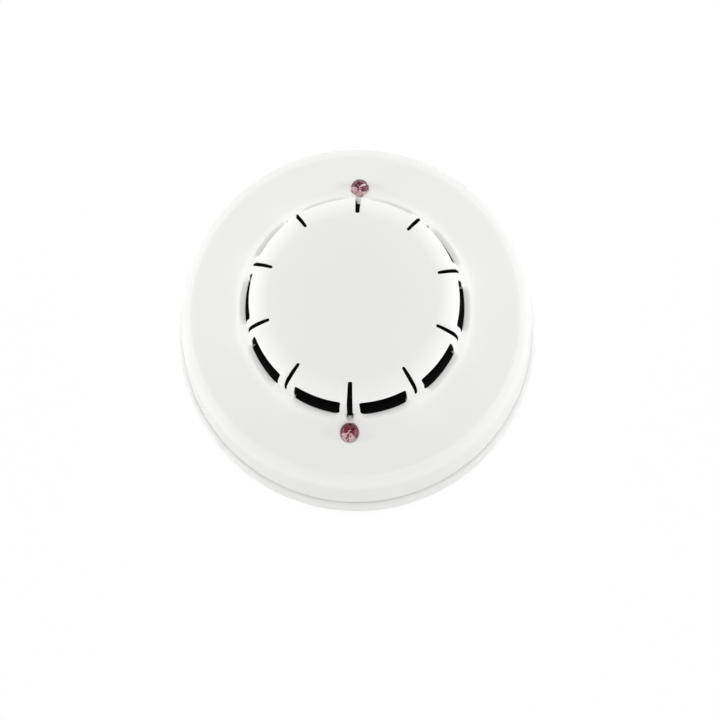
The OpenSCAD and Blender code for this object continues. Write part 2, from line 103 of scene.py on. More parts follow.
class CoverSizes(bpy.types.PropertyGroup):
    """The cover's outline, from the crown of the cap out to the rim."""

    crown_curve: length("Crown curve", "Radius of curvature of the cap's crown", 120)
    crown_reach: length("Crown reach", "Radius at which the crown meets the cap's rounded edge", 21.5)
    cap_radius: length("Cap radius", "Radius of the cap's lower edge", 27.7)
    cap_edge: length("Cap edge height", "Height of the cap's lower edge", 39.4)
    lip_radius: length("Lip radius", "Radius of the lip below the vents", 29.15)
    lip_height: length("Lip height", "Height of the lip below the vents", 31.88)
    crest_radius: length("Crest radius", "Radius of the crest round the vents", 30.65)
    crest_height: length("Crest height", "Height of the crest round the vents", 32.1)
    crease_radius: length("Crease radius", "Radius of the crease above the shoulder", 44.6)
    crease_height: length("Crease height", "Height of the crease above the shoulder", 26.7)
    side_radius: length("Side radius", "Radius at the top of the side wall", 47.8)
    side_height: length("Side height", "Height of the top of the side wall", 24.4)
    shoulder_round: length("Shoulder round", "Radius of the rounded shoulder", 5)
    wall: length("Wall", "Thickness of the moulding", 2)
    rib_count: number("Ribs", "Number of ribs that carry the cap", 10, 4)
    rib_half: length("Rib half width", "Half the width of a rib at the cap", 2.4)
    rib_rise: length("Rib rise", "How far a rib stands proud of the cap", 0.2)
    slot_half: length("Lamp slot half width", "Half width of a lamp's slot at its outer end", 0.73)
    slot_tip: length("Lamp slot tip half width", "Half width of a lamp's slot at its inner end", 0.5)
    slim_half: length("Slim slot half width", "Half width of the other slots in their middle", 0.47)
    slim_tip: length("Slim slot tip half width", "Half width of the other slots at their ends", 0.34)
    slot_floor: length("Slot floor", "Height of the slot's floor between the lip and a lamp", 30.5)
    slot_start: length("Slot start", "Radius of the slot's inner end", 22.6)
    dish_depth: length("Dish depth", "Depth of the shallow dish round a lamp", 0.45)
    dish_length: length("Dish length", "Half the length of the dish, across the radius", 7.2)
    dish_width: length("Dish width", "Half the width of the dish, along the radius", 2)


class LampSizes(bpy.types.PropertyGroup):
    """The indicator lamps."""

    lens_radius: length("Lens radius", "Radius of a lens", 2.5)
    flange_height: length("Flange height", "Height of the flange at a lens's foot", 1)
    hole_gap: length("Hole gap", "Gap round a lens in the cover", 0.06)
    tint: colour("Lens tint", "Colour of the lens resin", 0.97, 0.86, 0.88)
    # The pale and dark facet colours are painted reflection: the bright and dark surroundings as the lens
    # shows them.
    pale: colour("Pale facets", "Colour of the pale facets in a lens", 0.90, 0.62, 0.66)
    dark: colour("Dark facets", "Colour of the dark facets in a lens", 0.09, 0.004, 0.02)
    facets: number("Facets", "Number of facets round the reflector", 13, 7)


class Finishes(bpy.types.PropertyGroup):
    """Colours of the mouldings and metals."""

    white: colour("Cover white", "Cover and base plastic", 0.83, 0.83, 0.815)
    grey: colour("Housing grey", "Rear housing plastic", 0.62, 0.62, 0.61)
    # Also used for the painted shade on the faces inside the dome.
    black: colour("Chamber black", "Chamber plate and spacers", 0.003, 0.003, 0.0035)
    brass: colour("Spring brass", "Terminal plates", 0.80, 0.58, 0.27)
    zinc: colour("Zinc plate", "Screws and washers", 0.62, 0.64, 0.66)
    tin: colour("Tin plate", "Blades and leads", 0.74, 0.73, 0.70)
    board: colour("Solder mask", "Circuit board", 0.012, 0.13, 0.05)


class StageSizes(bpy.types.PropertyGroup):
    """Camera and light."""

    distance: length("Camera distance", "From the base's centre to the camera", 400)
    tilt: degrees("Camera tilt", "From straight above", 13.5)
    swing: degrees("Camera swing", "To the right of the lower lamp", 7.3)
    roll: degrees("Camera roll", "About its line of sight", 2.4)
    lens: FloatProperty(name="Focal length", description="Camera focal length in millimetres", default=69.2)
    shift_x: FloatProperty(name="Shift X", description="Sideways lens shift", default=0.0039)
    shift_y: FloatProperty(name="Shift Y", description="Upward lens shift", default=-0.0356)


# ---- Finishes --------------------------------------------------------------------------


class Socket:
    """An output socket of a finish's node tree, on which shader maths reads as Python."""

    def __init__(self, finish, node, output=0):
        self.finish, self.node, self.socket = finish, node, node.outputs[output]

    def other(self, output):
        """Another output of the same node."""
        return Socket(self.finish, self.node, output)

    def maths(self, operation, first, second=0):
        return self.finish.maths(operation, first, second)

    def __add__(self, value):
        return self.maths("ADD", self, value)

    __radd__ = __add__

    def __sub__(self, value):
        return self.maths("SUBTRACT", self, value)

    def __rsub__(self, value):
        return self.maths("SUBTRACT", value, self)

    def __mul__(self, value):
        return self.maths("MULTIPLY", self, value)

    __rmul__ = __mul__

    def __truediv__(self, value):
        return self.maths("DIVIDE", self, value)

    def __pow__(self, value):
        return self.maths("POWER", self, value)

    def __gt__(self, value):
        return self.maths("GREATER_THAN", self, value)

    def __lt__(self, value):
        return self.maths("LESS_THAN", self, value)

    def __abs__(self):
        return self.maths("ABSOLUTE", self, 0)


class Shading:
    """A node tree of a material or the world, and the one way nodes are added to it."""

    def __init__(self, owner):
        owner.use_nodes = True
        self.tree = owner.node_tree

    def feed(self, socket, value):
        """Links a Socket to an input, or sets the input to a plain value."""
        if isinstance(value, Socket):
            self.tree.links.new(value.socket, socket)
        elif socket.type == "RGBA" and len(value) == 3:
            socket.default_value = (*value, 1)
        else:
            socket.default_value = value

    def add(self, kind, settings, sockets, output=0):
        """A new node: its settings go in first, then the values or links of its sockets."""
        node = self.tree.nodes.new("ShaderNode" + kind)
        for name, value in settings.items():
            setattr(node, name, value)
        for place, value in sockets.items():
            self.feed(node.inputs[place], value)
        return Socket(self, node, output)

    def maths(self, operation, first, second=0):
        return self.add("Math", {"operation": operation}, {0: first, 1: second})


class Finish(Shading):
    """A material with one Principled BSDF, and the patterns that feed it."""

    def __init__(self, name, **constants):
        self.material = bpy.data.materials.new(name)
        super().__init__(self.material)
        self.shader = self.tree.nodes["Principled BSDF"]
        for place, value in constants.items():
            self.set(place.replace("_", " ").title().replace("Ior", "IOR"), value)

    def set(self, place, value):
        """Feeds one input of the Principled BSDF."""
        self.feed(self.shader.inputs[place], value)

    def position(self):
        return self.add("TexCoord", {}, {}, "Object")

    def axes(self):
        """The object's own x, y and z."""
        split = self.add("SeparateXYZ", {}, {0: self.position()})
        return split, split.other(1), split.other(2)

    def noise(self, size, detail=2.0, stretch=(1, 1, 1)):
        """Soft noise from 0 to 1 whose features are about that size, in metres."""
        spread = self.add("VectorMath", {"operation": "MULTIPLY"}, {0: self.position(), 1: stretch})
        return self.add("TexNoise", {}, {"Vector": spread, "Scale": 1 / size, "Detail": detail})

    def smooth(self, value, low, high):
        """0 below low and 1 above high, with a soft step between."""
        settings = {"interpolation_type": "SMOOTHSTEP"}
        return self.add("MapRange", settings, {"Value": value, "From Min": low, "From Max": high})

    def mix(self, factor, first, second):
        """The first colour at factor 0, going over to the second at 1."""
        return self.add("Mix", {"data_type": "RGBA"}, {0: factor, 6: first, 7: second}, 2)

    def bump(self, height, depth, strength=1.0):
        relief = self.add("Bump", {}, {"Height": height, "Distance": depth, "Strength": strength})
        self.set("Normal", relief)


def shaded(colour_value, factor):
    """A colour made lighter or darker by that factor."""
    return tuple(min(1, channel * factor) for channel in colour_value)


def moulded(name, base, roughness, grain=0.3 * MM, depth=0.01 * MM, spread=0.05, **constants):
    """Injection-moulded plastic: a fine spark-eroded grain and a slightly uneven sheen."""
    finish = Finish(name, ior=1.5, **constants)
    flow = finish.noise(14 * MM, 3)
    finish.set("Base Color", finish.mix(flow, shaded(base, 0.985), shaded(base, 1.012)))
    finish.set("Roughness", roughness + (flow - 0.5) * spread)
    finish.bump(finish.noise(grain, 2), depth, 0.6)
    return finish.material


def rolled(name, base, roughness, stretch):
    """Strip or plated metal with the fine lines of rolling."""
    finish = Finish(name, metallic=1.0)
    lines = finish.noise(0.12 * MM, 3, stretch)
    cloud = finish.noise(2.5 * MM, 2)
    finish.set("Base Color", finish.mix(cloud, shaded(base, 0.86), base))
    finish.set("Roughness", roughness + (lines - 0.5) * 0.2 + (cloud - 0.5) * 0.12)
    finish.bump(lines, 0.006 * MM, 0.5)
    return finish.material


def lens_resin(name, tint):
    """Clear tinted casting resin."""
    finish = Finish(name, transmission_weight=1.0, ior=1.45, specular_ior_level=0.35)
    flow = finish.noise(1.2 * MM, 1)
    finish.set("Base Color", finish.mix(flow, shaded(tint, 0.92), tint))
    finish.set("Roughness", 0.02 + flow * 0.05)
    return finish.material


def reflector_facets(name, lamps, out):
    """The faceted reflector in a lens: kite-shaped facets coloured with a painted reflection, most of the
    upper ones painted dark, a few with a painted glint.
    """
    finish = Finish(name)
    x, y, _ = finish.axes()
    side = finish.maths("SIGN", y)
    local = y - side * out
    turn, reach = finish.maths("ARCTAN2", x, local), finish.maths("SQRT", x * x + local * local)
    spread = finish.add("CombineXYZ", {}, {0: turn * 2.3, 1: reach / (0.75 * MM), 2: side * 4.5})
    facets = finish.add("TexVoronoi", {}, {"Vector": spread, "Scale": 1.0}, "Color")
    tone = finish.add("SeparateColor", {}, {0: facets})
    # Painted reflection: the upper facets are mostly painted dark and the lower ones pale, for the dark
    # interior and bright surroundings seen through the lens.
    upper = finish.smooth(local + (tone.other(1) - 0.5) * 1.6 * MM, -1.2 * MM, 0.4 * MM)
    dark = finish.smooth(tone + upper * 1.1, 0.8, 1.0)
    pale_reflection = finish.mix(tone.other(2), lamps.pale, shaded(lamps.pale, 0.72))
    dark_reflection = finish.mix(tone.other(2), lamps.dark, shaded(lamps.dark, 3.2))
    # Painted highlight: a few facets take a near-white glint.
    painted_glint = tone.other(1) > 0.9
    finish.set("Base Color", finish.mix(painted_glint, finish.mix(dark, pale_reflection, dark_reflection), (0.95, 0.9, 0.91)))
    finish.set("Roughness", 0.25 + tone.other(2) * 0.2)
    return finish.material


def dipped(name, base, roughness=0.25):
    """An epoxy or glaze coat with a faint orange-peel surface."""
    finish = Finish(name, ior=1.55)
    peel = finish.noise(0.8 * MM, 2)
    finish.set("Base Color", finish.mix(peel, shaded(base, 0.85), shaded(base, 1.1)))
    finish.set("Roughness", roughness + peel * 0.12)
    finish.bump(peel, 0.03 * MM, 0.5)
    return finish.material


def solder_mask(name, base):
    """Circuit board: tracks under the mask, in rows, with a paler edge of bare laminate."""
    finish = Finish(name, ior=1.5)
    settings = {"offset": 0.37, "squash": 0.7, "squash_frequency": 3}
    layout = {"Vector": finish.position(), "Scale": 1 / (14 * MM)}
    layout |= {"Mortar Size": 0.035, "Mortar Smooth": 0.1}
    bricks = finish.add("TexBrick", settings, layout, "Fac")
    _, _, height = finish.axes()
    face = finish.smooth(height, BOARD_HIGH.z - 0.08 * MM, BOARD_HIGH.z - 0.02 * MM)
    tracks = bricks * face
    masked = finish.mix(tracks, base, shaded(base, 2.2))
    finish.set("Base Color", finish.mix(face, (0.30, 0.26, 0.12), masked))
    finish.set("Roughness", 0.32 + finish.noise(3 * MM) * 0.1)
    finish.bump(tracks, 0.035 * MM, 0.8)
    return finish.material


def sleeved(name, node):
    """A capacitor: dark shrink sleeve with a pale stripe, and a bare scored can top."""
    low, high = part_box(node)
    centre = (low + high) / 2
    finish = Finish(name)
    x, y, z = finish.axes()
    top = finish.smooth(z, high.z - 0.12 * MM, high.z - 0.05 * MM)
    stripe = ((y - centre.y) < -2.2 * MM) * (1 - top)
    cross = (abs(x - centre.x) < 0.12 * MM) + (abs(y - centre.y) < 0.12 * MM)
    sleeve = finish.mix(stripe, (0.018, 0.022, 0.055), (0.55, 0.56, 0.58))
    finish.set("Base Color", finish.mix(top, sleeve, (0.72, 0.72, 0.73)))
    finish.set("Metallic", top)
    finish.set("Roughness", 0.3 + finish.noise(1 * MM) * 0.1)
    finish.bump(1 - cross * top, 0.1 * MM)
    return finish.material


def banded(name, node, bands):
    """A resistor: tan lacquer with colour bands along its length and tinned ends."""
    low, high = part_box(node)
    centre, size = (low + high) / 2, high - low
    finish = Finish(name)
    x, y, _ = finish.axes()
    along = (x - centre.x) if size.x > size.y else (y - centre.y)
    tone = finish.mix(finish.noise(1.5 * MM), (0.55, 0.40, 0.22), (0.66, 0.50, 0.30))
    for place, band in bands:
        tone = finish.mix(abs(along - place * MM) < 0.3 * MM, tone, band)
    lead = abs(along) > 3.17 * MM
    finish.set("Base Color", finish.mix(lead, tone, (0.74, 0.73, 0.70)))
    finish.set("Metallic", lead)
    finish.set("Roughness", 0.34 + finish.noise(0.6 * MM) * 0.1)
    finish.bump(finish.noise(0.4 * MM), 0.01 * MM, 0.5)
    return finish.material


def packaged(name, node, leg_height=0.0, leg_inset=0.0):
    """A moulded component body; below leg_height and outside leg_inset it is a tinned leg."""
    low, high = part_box(node)
    centre, size = (low + high) / 2, high - low
    finish = Finish(name)
    _, y, z = finish.axes()
    grain = finish.noise(0.15 * MM, 2)
    leg = (abs(y - centre.y) > size.y / 2 - leg_inset) * ((z - low.z) < leg_height)
    finish.set("Base Color", finish.mix(leg, (0.018, 0.018, 0.02), (0.72, 0.71, 0.69)))
    finish.set("Metallic", leg)
    finish.set("Roughness", 0.42 + grain * 0.2)
    finish.bump(grain, 0.015 * MM, 0.6)
    return finish.material


def paint(node, material, edge=0.0):
    """Gives a CAD node its finish, and softens its edges by that much."""
    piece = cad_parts[node]
    for place in piece.material_slots:
        place.link = "OBJECT"
        place.material = material
    if edge:
        soften(piece, edge)


def soften(piece, edge):
    """Rounds the piece's sharp edges by that much."""
    bevel = piece.modifiers.new("Edges", "BEVEL")
    bevel.width = edge
    bevel.segments = 2
    bevel.limit_method = "ANGLE"
    bevel.angle_limit = math.radians(40)
    bevel.harden_normals = True


# ---- Mesh helpers ----------------------------------------------------------------------


def make_piece(name, mesh, body, material, slot, *nodes):
    """A new object that rides on a body, finished with that material where its mesh has none, and stands
    for those CAD nodes; the slot is not used.
    """
    piece = bpy.data.objects.new(name, mesh)
    bpy.context.scene.collection.objects.link(piece)
    if not mesh.materials:
        mesh.materials.append(material)
    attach(piece, body)
    if nodes:
        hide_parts(*nodes)
    return piece


def mesh_from(build, name):
    """A mesh made of what build adds to an empty bmesh, with outward faces and smooth shading."""
    made = bmesh.new()
    build(made)
    bmesh.ops.recalc_face_normals(made, faces=made.faces)
    for face in made.faces:
        face.smooth = True
    mesh = bpy.data.meshes.new(name)
    made.to_mesh(mesh)
    made.free()
    return mesh


def rounded(before, point, after, radius, steps):
    """The corner at point, as an arc of that radius from before's side to after's."""
    start, end = (before - point).normalized(), (after - point).normalized()
    half = start.angle(end) / 2
    centre = point + (start + end).normalized() * radius / math.sin(half)
    back = radius / math.tan(half)
    first, last = point + start * back, point + end * back
    chord = [first.lerp(last, k / steps) for k in range(steps + 1)]
    return [centre + (place - centre).normalized() * radius for place in chord]


def lathe(made, outline, centre, segments=64):
    """Turns an outline of (radius, height) points about the upright axis through centre."""
    x, y = centre
    turns = [2 * math.pi * k / segments for k in range(segments)]
    rings = []
    for radius, height in outline:
        if radius < NO_RADIUS:
            rings.append([made.verts.new((x, y, height))] * segments)
            continue
        ring = [(x + radius * math.cos(turn), y + radius * math.sin(turn), height) for turn in turns]
        rings.append([made.verts.new(place) for place in ring])
    for inner, outer in zip(rings, rings[1:]):
        for k in range(segments):
            corners = [inner[k], inner[(k + 1) % segments], outer[(k + 1) % segments], outer[k]]
            corners = list(dict.fromkeys(corners))
            if len(corners) > 2:
                made.faces.new(corners)


def modified(mesh, name, kind, **settings):
    """A copy of mesh with one modifier applied."""
    carrier = bpy.data.objects.new(name, mesh)
    bpy.context.scene.collection.objects.link(carrier)
    modifier = carrier.modifiers.new(name, kind)
    for key, value in settings.items():
        setattr(modifier, key, value)
    graph = bpy.context.evaluated_depsgraph_get()
    result = bpy.data.meshes.new_from_object(carrier.evaluated_get(graph))
    bpy.data.objects.remove(carrier)
    return result


# ---- Cover -----------------------------------------------------------------------------


class Station:
    """One ring of the cover: its outer and inner face between the ribs and on a rib."""

    def __init__(self, face, inner, rib_face=None, rib_inner=None, groove=None):
        self.face, self.inner, self.groove = face, inner, groove
        self.rib_face = face if rib_face is None else rib_face
        self.rib_inner = inner if rib_inner is None else rib_inner


def share(value, start, reach):
    """How far value has come from start towards start + reach, from 0 to 1."""
    return min(1, max(0, (value - start) / reach))


# Lines beside a rib's centre plane, by what they mark
CENTRE, SLOT, SLOT_SIDE, RIB_TOP, RIB_EDGE, RIB_FOOT, OPEN = range(7)


class CoverGrid:
    """The cover as a grid of stations, crown to rim, and columns round the axis.

    A cell of the grid is solid or empty. The empty ones are the vents between the ribs and
    the slots in the ribs. Beside a lamp a slot goes on as a groove to the lamp's hole.
    Inside the dome the inner faces and the deeper walls are painted black as painted shade: those faces
    take the second material.
    """

    layers = (0.0, 0.14, 0.5, 0.86, 1.0)

    def __init__(self, sizes):
        self.s = sizes
        self.stations = []
        self.outline_cap()
        self.outline_ribs()
        self.outline_lip()
        self.outline_cone()
        self.outline_side()
        half = [(mark, 0) for mark in (CENTRE, SLOT, SLOT_SIDE, RIB_TOP, RIB_EDGE, RIB_FOOT, OPEN)]
        half += [(OPEN, part) for part in (0.3, 0.65, 1)]
        self.columns = [(-1, *column) for column in reversed(half[1:])]
        self.columns += [(1, *column) for column in half[:-1]]
        self.total = len(self.columns) * sizes.rib_count

    # The outline, from the axis outwards

    def crown(self, radius):
        """A point of the cap's outer face at that radius, and the face's normal there."""
        s = self.s
        lean = math.asin(s.crown_reach / s.crown_curve)
        top = COVER_HIGH.z - s.crown_curve
        if radius <= s.crown_reach:
            angle = math.asin(radius / s.crown_curve)
            normal = Vector((math.sin(angle), math.cos(angle)))
            return Vector((0, top)) + s.crown_curve * normal, normal
        joint = Vector((s.crown_reach, top + s.crown_curve * math.cos(lean)))
        chord = Vector((s.cap_radius, s.cap_edge)) - joint
        turn = -2 * (math.atan2(chord.y, chord.x) + lean)
        curve = chord.length / (2 * math.sin(turn / 2))
        centre = joint - curve * Vector((math.sin(lean), math.cos(lean)))
        angle = math.asin(min(1, (radius - centre.x) / curve))
        normal = Vector((math.sin(angle), math.cos(angle)))
        return centre + curve * normal, normal

    def outline_cap(self):
        """The cap out to its edge; over a rib its face stands proud beside the slot."""
        s = self.s
        reach = s.cap_radius - s.slot_start
        ramp = reach / 1.5
        radii = [s.crown_reach * k for k in (0, 0.2, 0.4, 0.6, 0.8, 0.96)]
        self.slot_from = len(radii) + 1
        radii += [s.slot_start + reach * k for k in (-0.08, 0, 0.08, 0.3, 0.52, 0.74, 0.92, 1)]
        for radius in radii:
            point, normal = self.crown(radius)
            rise = s.rib_rise * share(radius, s.slot_start - 0.1 * ramp, ramp)
            self.stations.append(Station(point, point - s.wall * normal, point + rise * normal))
        self.cap_end = len(self.stations) - 1

    def outline_ribs(self):
        """The ribs between the cap and the lip, where nothing else is solid."""
        s = self.s
        drop, lean = s.cap_edge - s.lip_height, s.lip_radius - s.cap_radius
        head, thick = self.stations[-1].inner, 1.6 * MM
        self.rib_under = Vector((s.lip_radius - thick, s.lip_height - 1 * MM))
        # How far down the rib, and how far out towards the lip, as shares
        bow = ((0.07, 0.3), (0.19, 0.58), (0.32, 0.75), (0.45, 0.85))
        bow += ((0.57, 0.9), (0.67, 0.93), (0.76, 0.97))
        self.slot_to = len(self.stations) + len(bow) - 1
        for down, out in bow:
            outer = Vector((s.cap_radius + lean * out, s.cap_edge - drop * down))
            inner = head.lerp(outer - Vector((thick, 0)), min(1, down * 4))
            self.stations.append(Station(None, None, outer, inner))
        self.lip = len(self.stations)

    def outline_lip(self):
        """From the lip up the bevel to the crest, where a rib's foot dies away."""
        s = self.s
        lip, crest = Vector((s.lip_radius, s.lip_height)), Vector((s.crest_radius, s.crest_height))
        under, self.crest_under = lip + Vector((1.4, -1.3)) * MM, crest + Vector((0.5, -2.1)) * MM
        bulge = 0.25 * MM
        # The share of the way to the crest, and a rib foot's reach and rise from the lip in mm
        feet = ((0, -0.02, 1.2), (0.22, 0.2, 0.9), (0.5, 0.6, 0.65), (0.78, 1.05, 0.5), (0.95, 1.4, 0.42))
        for along, foot_out, foot_up in feet:
            face, inner = lip.lerp(crest, along), under.lerp(self.crest_under, along)
            face.y += bulge * along * (1 - along)
            foot = lip + Vector((foot_out, foot_up)) * MM
            foot_inner = self.rib_under.lerp(self.crest_under, along)
            floor = Vector((face.x, s.slot_floor))
            self.stations.append(Station(face, inner, foot, foot_inner, floor))
        self.foot_end = len(self.stations)

    def outline_cone(self):
        """From the crest, rounded at first, straight down to the crease."""
        s = self.s
        crest = Vector((s.crest_radius, s.crest_height))
        crease = Vector((s.crease_radius, s.crease_height))
        crease_under = crease - Vector((0.8, 1.83)) * MM
        # Steps out and down from the crest in mm
        fall = ((0.12, 0.01), (0.4, 0.13), (0.75, 0.37), (1.15, 0.62), (1.65, 0.88), (2.3, 1.16))
        points = [crest + Vector((out, -down)) * MM for out, down in fall]
        points += [points[-1].lerp(crease, along) for along in (0.1, 0.22, 0.4, 0.6, 0.82, 0.96, 1)]
        for point in points:
            along = (point.x - crest.x) / (crease.x - crest.x)
            inner = self.crest_under.lerp(crease_under, along)
            floor = Vector((point.x, s.slot_floor)) if along < 0.1 else None
            self.stations.append(Station(point, inner, groove=floor))

    def outline_side(self):
        """Round the shoulder and down the side wall to the rim."""
        s = self.s
        crease = Vector((s.crease_radius, s.crease_height))
        side = Vector((s.side_radius, s.side_height))
        rim = Vector((COVER_HIGH.x, COVER_LOW.z))
        arc = rounded(crease, side, rim, s.shoulder_round, 6)
        foot = arc[-1]
        points = [crease.lerp(arc[0], 0.4)] + arc
        points += [foot.lerp(rim, along) for along in (0.25, 0.5, 0.75, 0.97, 1)]
        fall = (rim - foot).normalized()
        outward = Vector((-fall.y, fall.x))
        slope = (arc[0] - crease).normalized()
        upward = Vector((-slope.y, slope.x))
        for k, point in enumerate(points):
            normal = upward.lerp(outward, min(1, max(0, (k - 1) / 6))).normalized()
            self.stations.append(Station(point, point - s.wall * normal))

    # Where a column of the grid stands at a station

    def beside_lamp(self, column):
        """Whether a column belongs to one of the two ribs that have a lamp beside them."""
        return column % self.total // len(self.columns) * 2 in (0, self.s.rib_count)

    def lateral(self, mark, radius, depth, lamp):
        """How far a line stands from the rib's centre plane; slots widen inwards with depth."""
        s = self.s
        beyond = share(radius, s.cap_radius, 1.3 * MM)
        if lamp:
            opening = share(radius, s.slot_start, 6 * MM)
            slot, edge = s.slot_tip + (s.slot_half - s.slot_tip) * opening, 0.14 * MM
        else:
            opening = share(radius, s.slot_start, 2.5 * MM) - beyond
            slot, edge = s.slim_tip + (s.slim_half - s.slim_tip) * opening, 0.3 * MM
        slot += 0.4 * MM * depth * (1 - beyond * lamp)
        rib = s.rib_half * (1 + 0.26 * share(radius, s.cap_radius, 2.5 * MM))
        top, foot, clear = rib - 0.35 * MM, rib + 0.5 * MM, rib + 1.3 * MM
        return (0, slot, slot + edge, top, rib, foot, clear)[mark]

    def azimuth(self, column, radius, depth):
        """The angle in plan of a column's line at that radius and depth."""
        s = self.s
        sector, place = divmod(column, len(self.columns))
        side, mark, part = self.columns[place]
        # Inside the near radius and outside the far one, lines run straight out from the axis
        near, far = s.slot_start - 1.6 * MM, s.crest_radius + 0.3 * MM
        aside = self.lateral(mark, radius, depth, self.beside_lamp(column))
        angle = math.asin(aside / min(max(radius, near), far))
        angle += (math.pi / s.rib_count - angle) * part
        return math.pi / 2 + sector * 2 * math.pi / s.rib_count + side * angle

    def section(self, station, column):
        """The outer and inner face where a column crosses a station."""
        ring = self.stations[station]
        _, mark, part = self.columns[column % len(self.columns)]
        if mark <= SLOT and ring.groove is not None and self.beside_lamp(column):
            return ring.groove, ring.inner
        if mark == RIB_FOOT and self.lip <= station < self.foot_end:
            return ring.face.lerp(ring.rib_face, 0.45), ring.inner
        if mark > RIB_EDGE:
            return ring.face, ring.inner
        if mark == RIB_EDGE and ring.face is not None and station < self.cap_end:
            return ring.face.lerp(ring.rib_face, 0.4), ring.rib_inner
        if mark <= SLOT_SIDE and self.cap_end - 2 < station < self.lip:
            return ring.rib_face, ring.rib_face.lerp(ring.rib_inner, 0.6)
        return ring.rib_face, ring.rib_inner

    def point(self, station, column, layer):
        """A grid point's place; a slot's ends are drawn back so that they come out round."""
        outer, inner = self.section(station, column)
        _, mark, part = self.columns[column % len(self.columns)]
        ends = {self.slot_from: 1, self.slot_to: -1}
        if mark == SLOT and station in ends:
            beyond, beyond_inner = self.section(station + ends[station], column)
            outer, inner = outer.lerp(beyond, 0.6), inner.lerp(beyond_inner, 0.6)
        depth = self.layers[layer]
        radius, height = outer.lerp(inner, depth)
        angle = self.azimuth(column, radius, depth)
        return radius * math.cos(angle), radius * math.sin(angle), height

    def marks(self, column):
        """What the lines on a cell's two sides mark."""
        return [self.columns[c % len(self.columns)][1] for c in (column, column + 1)]

    def solid(self, station, column):
        """Whether the cell from this station and column to the next is solid."""
        if not 0 <= station < len(self.stations) - 1:
            return False
        marks = self.marks(column)
        slot_to = self.lip if self.beside_lamp(column) else self.slot_to
        if max(marks) <= SLOT and self.slot_from <= station < slot_to:
            return False
        return max(marks) <= RIB_EDGE or not self.cap_end <= station < self.lip

    def build(self, made):
        """Adds the solid cells' two faces, and walls wherever a cell borders an empty one."""
        corners = {}

        def vertex(station, column, layer):
            key = (station, column % self.total if station else 0, layer)
            if key not in corners:
                corners[key] = made.verts.new(self.point(*key))
            return corners[key]

        def face(painted_shade, *keys):
            corners_once = dict.fromkeys(vertex(*key) for key in keys)
            made.faces.new(list(corners_once)).material_index = int(painted_shade)

        last = len(self.layers) - 1
        for i in range(len(self.stations) - 1):
            inside = i < self.lip
            for c in range(self.total):
                if not self.solid(i, c):
                    continue
                for layer in (0, last):
                    cell = (i, c), (i + 1, c), (i + 1, c + 1), (i, c + 1)
                    # Inside the dome the inner face is painted black: painted shade.
                    face(inside and layer == last, *((*corner, layer) for corner in cell))
                edges = {
                    (i - 1, c): ((i, c), (i, c + 1)),
                    (i + 1, c): ((i + 1, c), (i + 1, c + 1)),
                    (i, c - 1): ((i, c), (i + 1, c)),
                    (i, c + 1): ((i, c + 1), (i + 1, c + 1)),
                }
                for neighbour, (one, two) in edges.items():
                    if self.solid(*neighbour) or neighbour[0] < 0:
                        continue
                    for layer in range(last):
                        wall = (*one, layer), (*two, layer), (*two, layer + 1), (*one, layer + 1)
                        # Inside the dome a wall below its thin outer skin is painted black: painted shade
                        # in the slots and vents.
                        face(inside and layer > 0, *wall)


def lamp_place(angle):
    """A lamp's centre in plan, from the CAD lens at the top lamp."""
    radius = (LENS_LOW.y + LENS_HIGH.y) / 2
    return radius * math.cos(math.radians(angle)), radius * math.sin(math.radians(angle))


def settle_cover(mesh, grid):
    """Puts the crown back on its exact curve, and presses in the dish round each lamp."""
    s = grid.s
    slope = 1.6  # above 1, the dish is flat in its middle
    for vertex in mesh.vertices:
        radius = math.hypot(vertex.co.x, vertex.co.y)
        if radius < s.crown_reach * 0.9:
            point, normal = grid.crown(radius)
            if vertex.co.z < point.y - s.wall / 2:
                point = point - Vector((0, s.wall / normal.y))
            vertex.co.z = point.y
    for angle in LAMPS.values():
        turn = Matrix.Rotation(math.radians(-angle), 4, "Z")
        out = math.hypot(*lamp_place(angle))
        for vertex in mesh.vertices:
            local = turn @ vertex.co
            across, along = local.y / s.dish_length, (local.x - out) / s.dish_width
            on_cone = vertex.co.z > s.crease_height and local.x > s.crest_radius - 0.3 * MM
            if abs(across) < 1 and on_cone:
                fill = max(0, 1 - across * across - along * along)
                vertex.co.z -= s.dish_depth * min(1, fill * slope)


def cut_lamp_holes(mesh, sizes, lamps):
    """Cuts a round hole for each lens through the cone."""
    radius = lamps.lens_radius + lamps.hole_gap

    def pins(made):
        for angle in LAMPS.values():
            outline = [(0, sizes.crease_height), (radius, sizes.crease_height)]
            outline += [(radius, COVER_HIGH.z), (0, COVER_HIGH.z)]
            lathe(made, outline, lamp_place(angle), 72)

    cutter = bpy.data.objects.new("lamp_hole_pins", mesh_from(pins, "lamp_hole_pins"))
    bpy.context.scene.collection.objects.link(cutter)
    cut = {"operation": "DIFFERENCE", "object": cutter, "solver": "MANIFOLD"}
    result = modified(mesh, "cut", "BOOLEAN", **cut)
    bpy.data.objects.remove(cutter)
    return result


